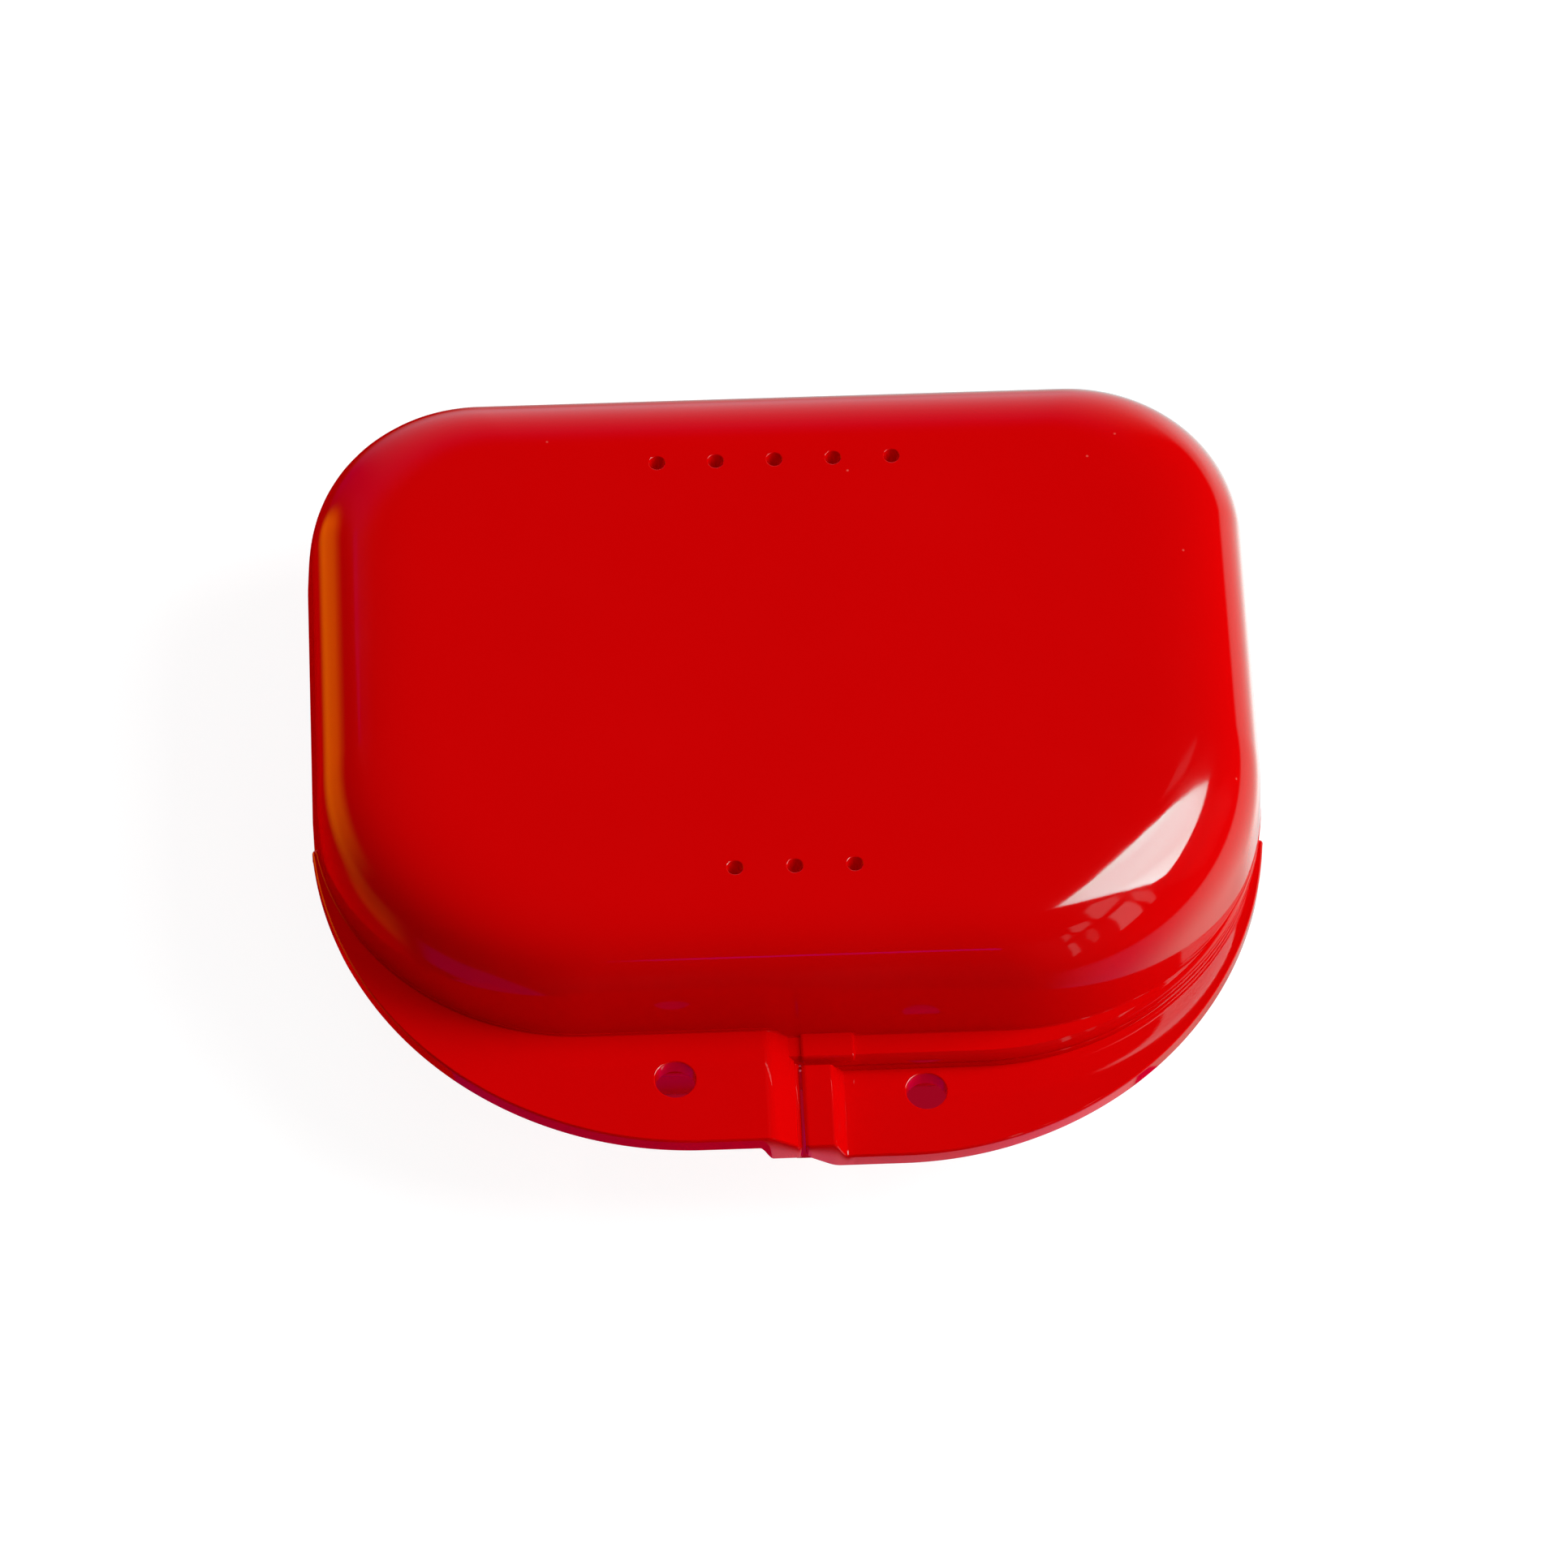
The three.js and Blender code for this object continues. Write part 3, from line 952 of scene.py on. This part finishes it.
def red_plastic():
    """Glossy moulded plastic: slightly cloudy tint, faint smudges and a few dust specks."""
    material = new_material("red_plastic")
    nodes = Nodes(material.node_tree)
    place = nodes.add("ShaderNodeTexCoord").outputs["Object"]
    cloud = nodes.noise(place, CLOUD_SCALE, CLOUD_DETAIL)
    tint = nodes.blend(cloud, RED_DEEP, RED_LIGHT)
    smudge = nodes.noise(place, SMUDGE_SCALE, SMUDGE_DETAIL)
    ripple = nodes.noise(place, RIPPLE_SCALE, RIPPLE_DETAIL)
    relief = nodes.add("ShaderNodeBump", {
        "Height": ripple, "Strength": 1.0, "Distance": RIPPLE_HEIGHT * MM,
    })
    shader = nodes.add("ShaderNodeBsdfPrincipled", {
        "Base Color": nodes.blend(specks(nodes, place), tint, SPECK_COLOUR),
        "Roughness": nodes.spread(smudge, GLOSS_ROUGHNESS, SMUDGE_SPAN),
        "IOR": PLASTIC_IOR,
        "Normal": relief.outputs[0],
    })
    nodes.add("ShaderNodeOutputMaterial", {"Surface": shader.outputs[0]})
    return material


def pin_steel():
    """Drawn steel with fine grain along the pin."""
    material = new_material("pin_steel")
    nodes = Nodes(material.node_tree)
    place = nodes.add("ShaderNodeTexCoord").outputs["Object"]
    along = nodes.add("ShaderNodeMapping", {"Vector": place, "Scale": GRAIN_STRETCH})
    grain = nodes.noise(along.outputs[0], GRAIN_SCALE, GRAIN_DETAIL)
    shader = nodes.add("ShaderNodeBsdfPrincipled", {
        "Base Color": nodes.blend(grain, STEEL_DARK, STEEL_LIGHT),
        "Roughness": nodes.spread(grain, STEEL_ROUGHNESS),
        "Metallic": 1.0,
    })
    nodes.add("ShaderNodeOutputMaterial", {"Surface": shader.outputs[0]})
    return material


red = red_plastic()
for piece in pieces.values():
    piece.data.materials.append(red)
steel = pin_steel()
for piece in steel_pins.values():
    piece.data.materials.append(steel)


# Studio: floor, shade, tent and cards that only the gloss mirrors, lamps and world

def smooth_step(low, high, value):
    """Zero below a ramp, one above it, and an even ease between."""
    share = min(max((value - low) / (high - low), 0), 1)
    return share * share * (3 - 2 * share)


def within(value, low, high, soft):
    """One inside a span and zero outside it, with soft ends."""
    return smooth_step(low - soft, low + soft, value) * (1 - smooth_step(high - soft, high + soft, value))


def direction(azimuth, elevation):
    """Unit vector, with azimuth counted from the back towards the right."""
    azimuth = math.radians(azimuth)
    elevation = math.radians(elevation)
    level = math.cos(elevation)
    return Vector((math.sin(azimuth) * level, math.cos(azimuth) * level, math.sin(elevation)))


def ground_glow(heading, azimuth, edge):
    """Pale ground at the right, which turns dark and blue towards the front."""
    shown = smooth_step(*GROUND_RAMP, heading.dot(GROUND_NORMAL)) * within(azimuth, *GROUND_AZIMUTHS)
    near = mix(GROUND_TINT, GROUND_EDGE_TINT, edge)
    return shown * mix(near, GROUND_FAR_TINT, smooth_step(*GROUND_FAR_RAMP, azimuth))


def backdrop_glow(azimuth, elevation, edge):
    """Pale backdrop behind the case, lower towards the right."""
    top = mix(*BACK_TOPS, smooth_step(*BACK_TOP_RAMP, azimuth))
    shown = within(azimuth, *BACK_AZIMUTHS) * (1 - smooth_step(BACK_FADE_START, top, elevation))
    shown *= max(smooth_step(*BACK_RISE_RAMP, elevation), smooth_step(*BACK_AZIMUTH_RAMP, azimuth))
    return shown * mix(BACK_TINT, BACK_EDGE_TINT, edge)


def steep_dimming(azimuth, elevation):
    """Share of the pale glows that is left close under the case."""
    steep = 1 - smooth_step(*STEEP_RAMP, elevation)
    loss = mix(*STEEP_LOSS_SHARES, smooth_step(*STEEP_LOSS_RAMP, azimuth))
    return 1 - steep * smooth_step(*STEEP_AZIMUTH_RAMP, azimuth) * loss


def front_glow(turn, elevation):
    """Pink floor in front of the case, and a blue arc where it ends."""
    front = within(turn, *FRONT_TURNS) * (1 - smooth_step(*FRONT_RISE_RAMP, elevation))
    rise = smooth_step(*ARC_RISE_RAMP, turn)
    half = mix(*ARC_HALF_HEIGHTS, rise)
    arc = within(turn, *ARC_TURNS) * within(elevation - mix(*ARC_HEIGHTS, rise), -half, half, ARC_FADE)
    arc *= 1 - within(turn, *ARC_GAP) * ARC_GAP_SHARE
    pink = mix(FRONT_TINT, FRONT_SIDE_TINT, smooth_step(*FRONT_SIDE_RAMP, turn))
    return front * pink + (1 - front) * arc * ARC_TINT


def left_glow(azimuth, elevation):
    """Warm strip at the left, and fainter glows round it."""
    warm = smooth_step(*WARM_START_RAMP, azimuth) * (1 - smooth_step(*WARM_END_RAMP, azimuth))
    warm *= within(elevation, *WARM_ELEVATIONS)
    glow = warm * WARM_TINT
    for azimuths, elevations, tint in LEFT_GLOWS:
        glow += (1 - warm) * within(azimuth, *azimuths) * within(elevation, *elevations) * tint
    return glow


def tent_glow(heading):
    """What the gloss mirrors in a direction: pale ground and backdrop, dark elsewhere."""
    azimuth = math.degrees(math.atan2(heading.x, heading.y))
    elevation = math.degrees(math.asin(min(max(heading.z, -1), 1)))
    edge = 1 - smooth_step(*EDGE_RAMP, elevation)
    pale = ground_glow(heading, azimuth, edge) + backdrop_glow(azimuth, elevation, edge)
    front = front_glow((azimuth - FRONT_START) % FULL_TURN, elevation)
    return steep_dimming(azimuth, elevation) * pale + front + left_glow(azimuth, elevation)


def tinted_vertices(mesh, points, tints):
    """New vertices at the points, each with its tint stored in the layer tint."""
    layers = mesh.verts.layers.float_color
    layer = layers.get("tint") or layers.new("tint")
    made = []
    for point, tint in zip(points, tints):
        vertex = mesh.verts.new(point)
        vertex[layer] = (*tint, 1)
        made.append(vertex)
    return made


def glow_material(name, again_share=0):
    """Glow by the stored tint; a share of it is left at each mirroring after the first."""
    material = new_material(name)
    nodes = Nodes(material.node_tree)
    stored = nodes.add("ShaderNodeAttribute", attribute_name="tint")
    depth = nodes.add("ShaderNodeLightPath").outputs["Ray Depth"]
    left = nodes.math("POWER", again_share, nodes.math("SUBTRACT", depth, 1))
    emission = nodes.add("ShaderNodeEmission", {"Color": stored.outputs["Color"], "Strength": left})
    nodes.add("ShaderNodeOutputMaterial", {"Surface": emission.outputs[0]})
    return material


def mirrored_piece(mesh, name, material):
    """Stage piece that only mirrored rays see, with its heights from the parting plane."""
    piece = as_object(mesh, name)
    piece.data.materials.append(material)
    piece.location.z = parting * MM
    piece.visible_camera = False
    piece.visible_diffuse = False
    piece.visible_shadow = False
    piece.visible_transmission = False


def tent():
    """Sphere with the glow of each direction."""
    mesh = bmesh.new()
    segments = TENT_SEGMENTS
    bmesh.ops.create_uvsphere(mesh, u_segments=segments, v_segments=segments // 2, radius=TENT_RADIUS)
    layer = mesh.verts.layers.float_color.new("tint")
    for vertex in mesh.verts:
        vertex[layer] = (*tent_glow(vertex.co.normalized()), 1)
    mirrored_piece(mesh, "tent", glow_material("tent_glow"))


def card(name, corners, tint, again_share=0):
    """Glowing card; corners are azimuth, elevation and glow."""
    mesh = bmesh.new()
    points = [direction(azimuth, elevation) * CARD_DISTANCE for azimuth, elevation, _ in corners]
    tints = [Vector(tint) * glow for _, _, glow in corners]
    face = mesh.faces.new(tinted_vertices(mesh, points, tints))
    bmesh.ops.triangulate(mesh, faces=[face])
    mesh.transform(Matrix.Translation((CARD_CENTRE + Vector((0, datum, 0))) * MM))
    mirrored_piece(mesh, name, glow_material(name, again_share))


def lamp_corners(azimuth, elevation, width, height, glow):
    """Corners of a card for a small lamp."""
    return [(azimuth + x * width / 2, elevation + y * height / 2, glow) for x, y in SQUARE]


def plate_corners(left, right, front, back):
    """Corners of a low plate on the floor, in the moulding's plan."""
    corners = ((left, front), (right, front), (right, back), (left, back))
    return [Vector((x, y, LOWER_SHADE_HEIGHT)) for x, y in corners]


def tab_shade(*sides):
    """Plate of shade on the floor, in front of a tab or under the rim, for mirrored rays alone."""
    mesh = bmesh.new()
    corners = plate_corners(*sides)
    mesh.faces.new(tinted_vertices(mesh, corners, [TAB_SHADE_TINT] * len(corners)))
    mesh.transform(Matrix.Scale(MM, 4) @ Matrix.Translation((0, datum, -parting)))
    mirrored_piece(mesh, "tab_shade", glow_material("tab_shade"))


def make_floor():
    """Pale floor that looks white in the open and keeps the shadow."""
    mesh = bmesh.new()
    mesh.faces.new([mesh.verts.new(Vector((x, y, 0)) * FLOOR_REACH) for x, y in SQUARE])
    material = new_material("floor_pale")
    nodes = Nodes(material.node_tree)
    plain = nodes.add("ShaderNodeBsdfDiffuse", {"Color": FLOOR_COLOUR})
    dim = nodes.add("ShaderNodeBsdfDiffuse", {"Color": FLOOR_DIM})
    lift = nodes.add("ShaderNodeEmission", {"Strength": FLOOR_LIFT})
    lifted = nodes.add("ShaderNodeAddShader", {0: dim.outputs[0], 1: lift.outputs[0]})
    mixed = nodes.add("ShaderNodeMixShader", {0: nodes.seen(), 1: plain.outputs[0], 2: lifted.outputs[0]})
    nodes.add("ShaderNodeOutputMaterial", {"Surface": mixed.outputs[0]})
    floor = as_object(mesh, "floor")
    floor.data.materials.append(material)
    floor.visible_glossy = False


def shade_material():
    """Red shade, as clear as its stored tint is dark."""
    material = new_material("shade_red")
    nodes = Nodes(material.node_tree)
    amount = nodes.add("ShaderNodeAttribute", attribute_name="tint")
    clear = nodes.add("ShaderNodeBsdfTransparent")
    tinted = nodes.add("ShaderNodeEmission", {"Color": SHADE_COLOUR})
    mixed = nodes.add("ShaderNodeMixShader", {
        0: amount.outputs["Fac"], 1: clear.outputs[0], 2: tinted.outputs[0],
    })
    nodes.add("ShaderNodeOutputMaterial", {"Surface": mixed.outputs[0]})
    return material


def red_shade():
    """Red shade close under the case with a soft edge, and a strip of it under the split."""
    mesh = bmesh.new()
    plan = outline(SHADE_HALF_WIDTH, SHADE_FRONT, SHADE_BACK, SHADE_CORNER, SHADE_CORNER)
    full = (1, 1, 1)
    rows = []
    for step in range(SHADE_STEPS + 1):
        inset = SHADE_FADE * (1 - step / SHADE_STEPS)
        tint = Vector(full) * smooth_step(0, SHADE_FADE, inset)
        rows.append(tinted_vertices(mesh, ring(plan, inset, SHADE_HEIGHT), [tint] * len(plan)))
    mesh.faces.new(rows[0])
    for inner, outer in zip(rows, rows[1:]):
        for side in range(len(plan)):
            follow = (side + 1) % len(plan)
            mesh.faces.new((inner[side], outer[side], outer[follow], inner[follow]))
    strip = plate_corners(*SPLIT_SHADE)
    mesh.faces.new(tinted_vertices(mesh, strip, [full] * len(strip)))
    mesh.transform(Matrix.Scale(MM, 4) @ Matrix.Translation((0, datum, 0)))
    shade = as_object(mesh, "red_shade")
    shade.data.materials.append(shade_material())
    shade.visible_diffuse = False
    shade.visible_shadow = False


def make_lamp(azimuth, elevation, level, shadow):
    """Soft lamp that lights the case and isn't mirrored in it."""
    data = bpy.data.lights.new("lamp", "AREA")
    data.use_shadow = shadow
    data.shape = "RECTANGLE"
    data.size, data.size_y = LAMP_SIZES
    data.energy = level * (math.pi * LAMP_DISTANCE) ** 2
    lamp = bpy.data.objects.new("lamp", data)
    bpy.context.scene.collection.objects.link(lamp)
    heading = direction(azimuth, elevation)
    lamp.location = heading * LAMP_DISTANCE
    lamp.rotation_euler = heading.to_track_quat("Z", "Y").to_euler()
    lamp.visible_glossy = False


def make_world():
    """White where it is seen, and an even soft light on the case."""
    world = bpy.data.worlds.new("world")
    bpy.context.scene.world = world
    world.use_nodes = True
    world.node_tree.nodes.clear()
    nodes = Nodes(world.node_tree)
    strength = nodes.spread(nodes.seen(), (FILL_LEVEL, 1))
    backdrop = nodes.add("ShaderNodeBackground", {"Strength": strength})
    nodes.add("ShaderNodeOutputWorld", {"Surface": backdrop.outputs[0]})


make_floor()
red_shade()
for plate in TAB_SHADES:
    tab_shade(*plate)
tent()
card("window", WINDOW_CORNERS, WINDOW_TINT, WINDOW_AGAIN_SHARE)
for place, (glow, corners) in enumerate(WINDOW_PANES):
    card(f"pane_{place}", [(*corner, glow) for corner in corners], WINDOW_TINT)
for place, lamp in enumerate(BLUE_LAMPS):
    card(f"blue_lamp_{place}", lamp_corners(*lamp), BLUE_TINT)
for lamp in LAMPS:
    make_lamp(*lamp)
make_world()
bpy.context.scene.view_settings.view_transform = "Standard"
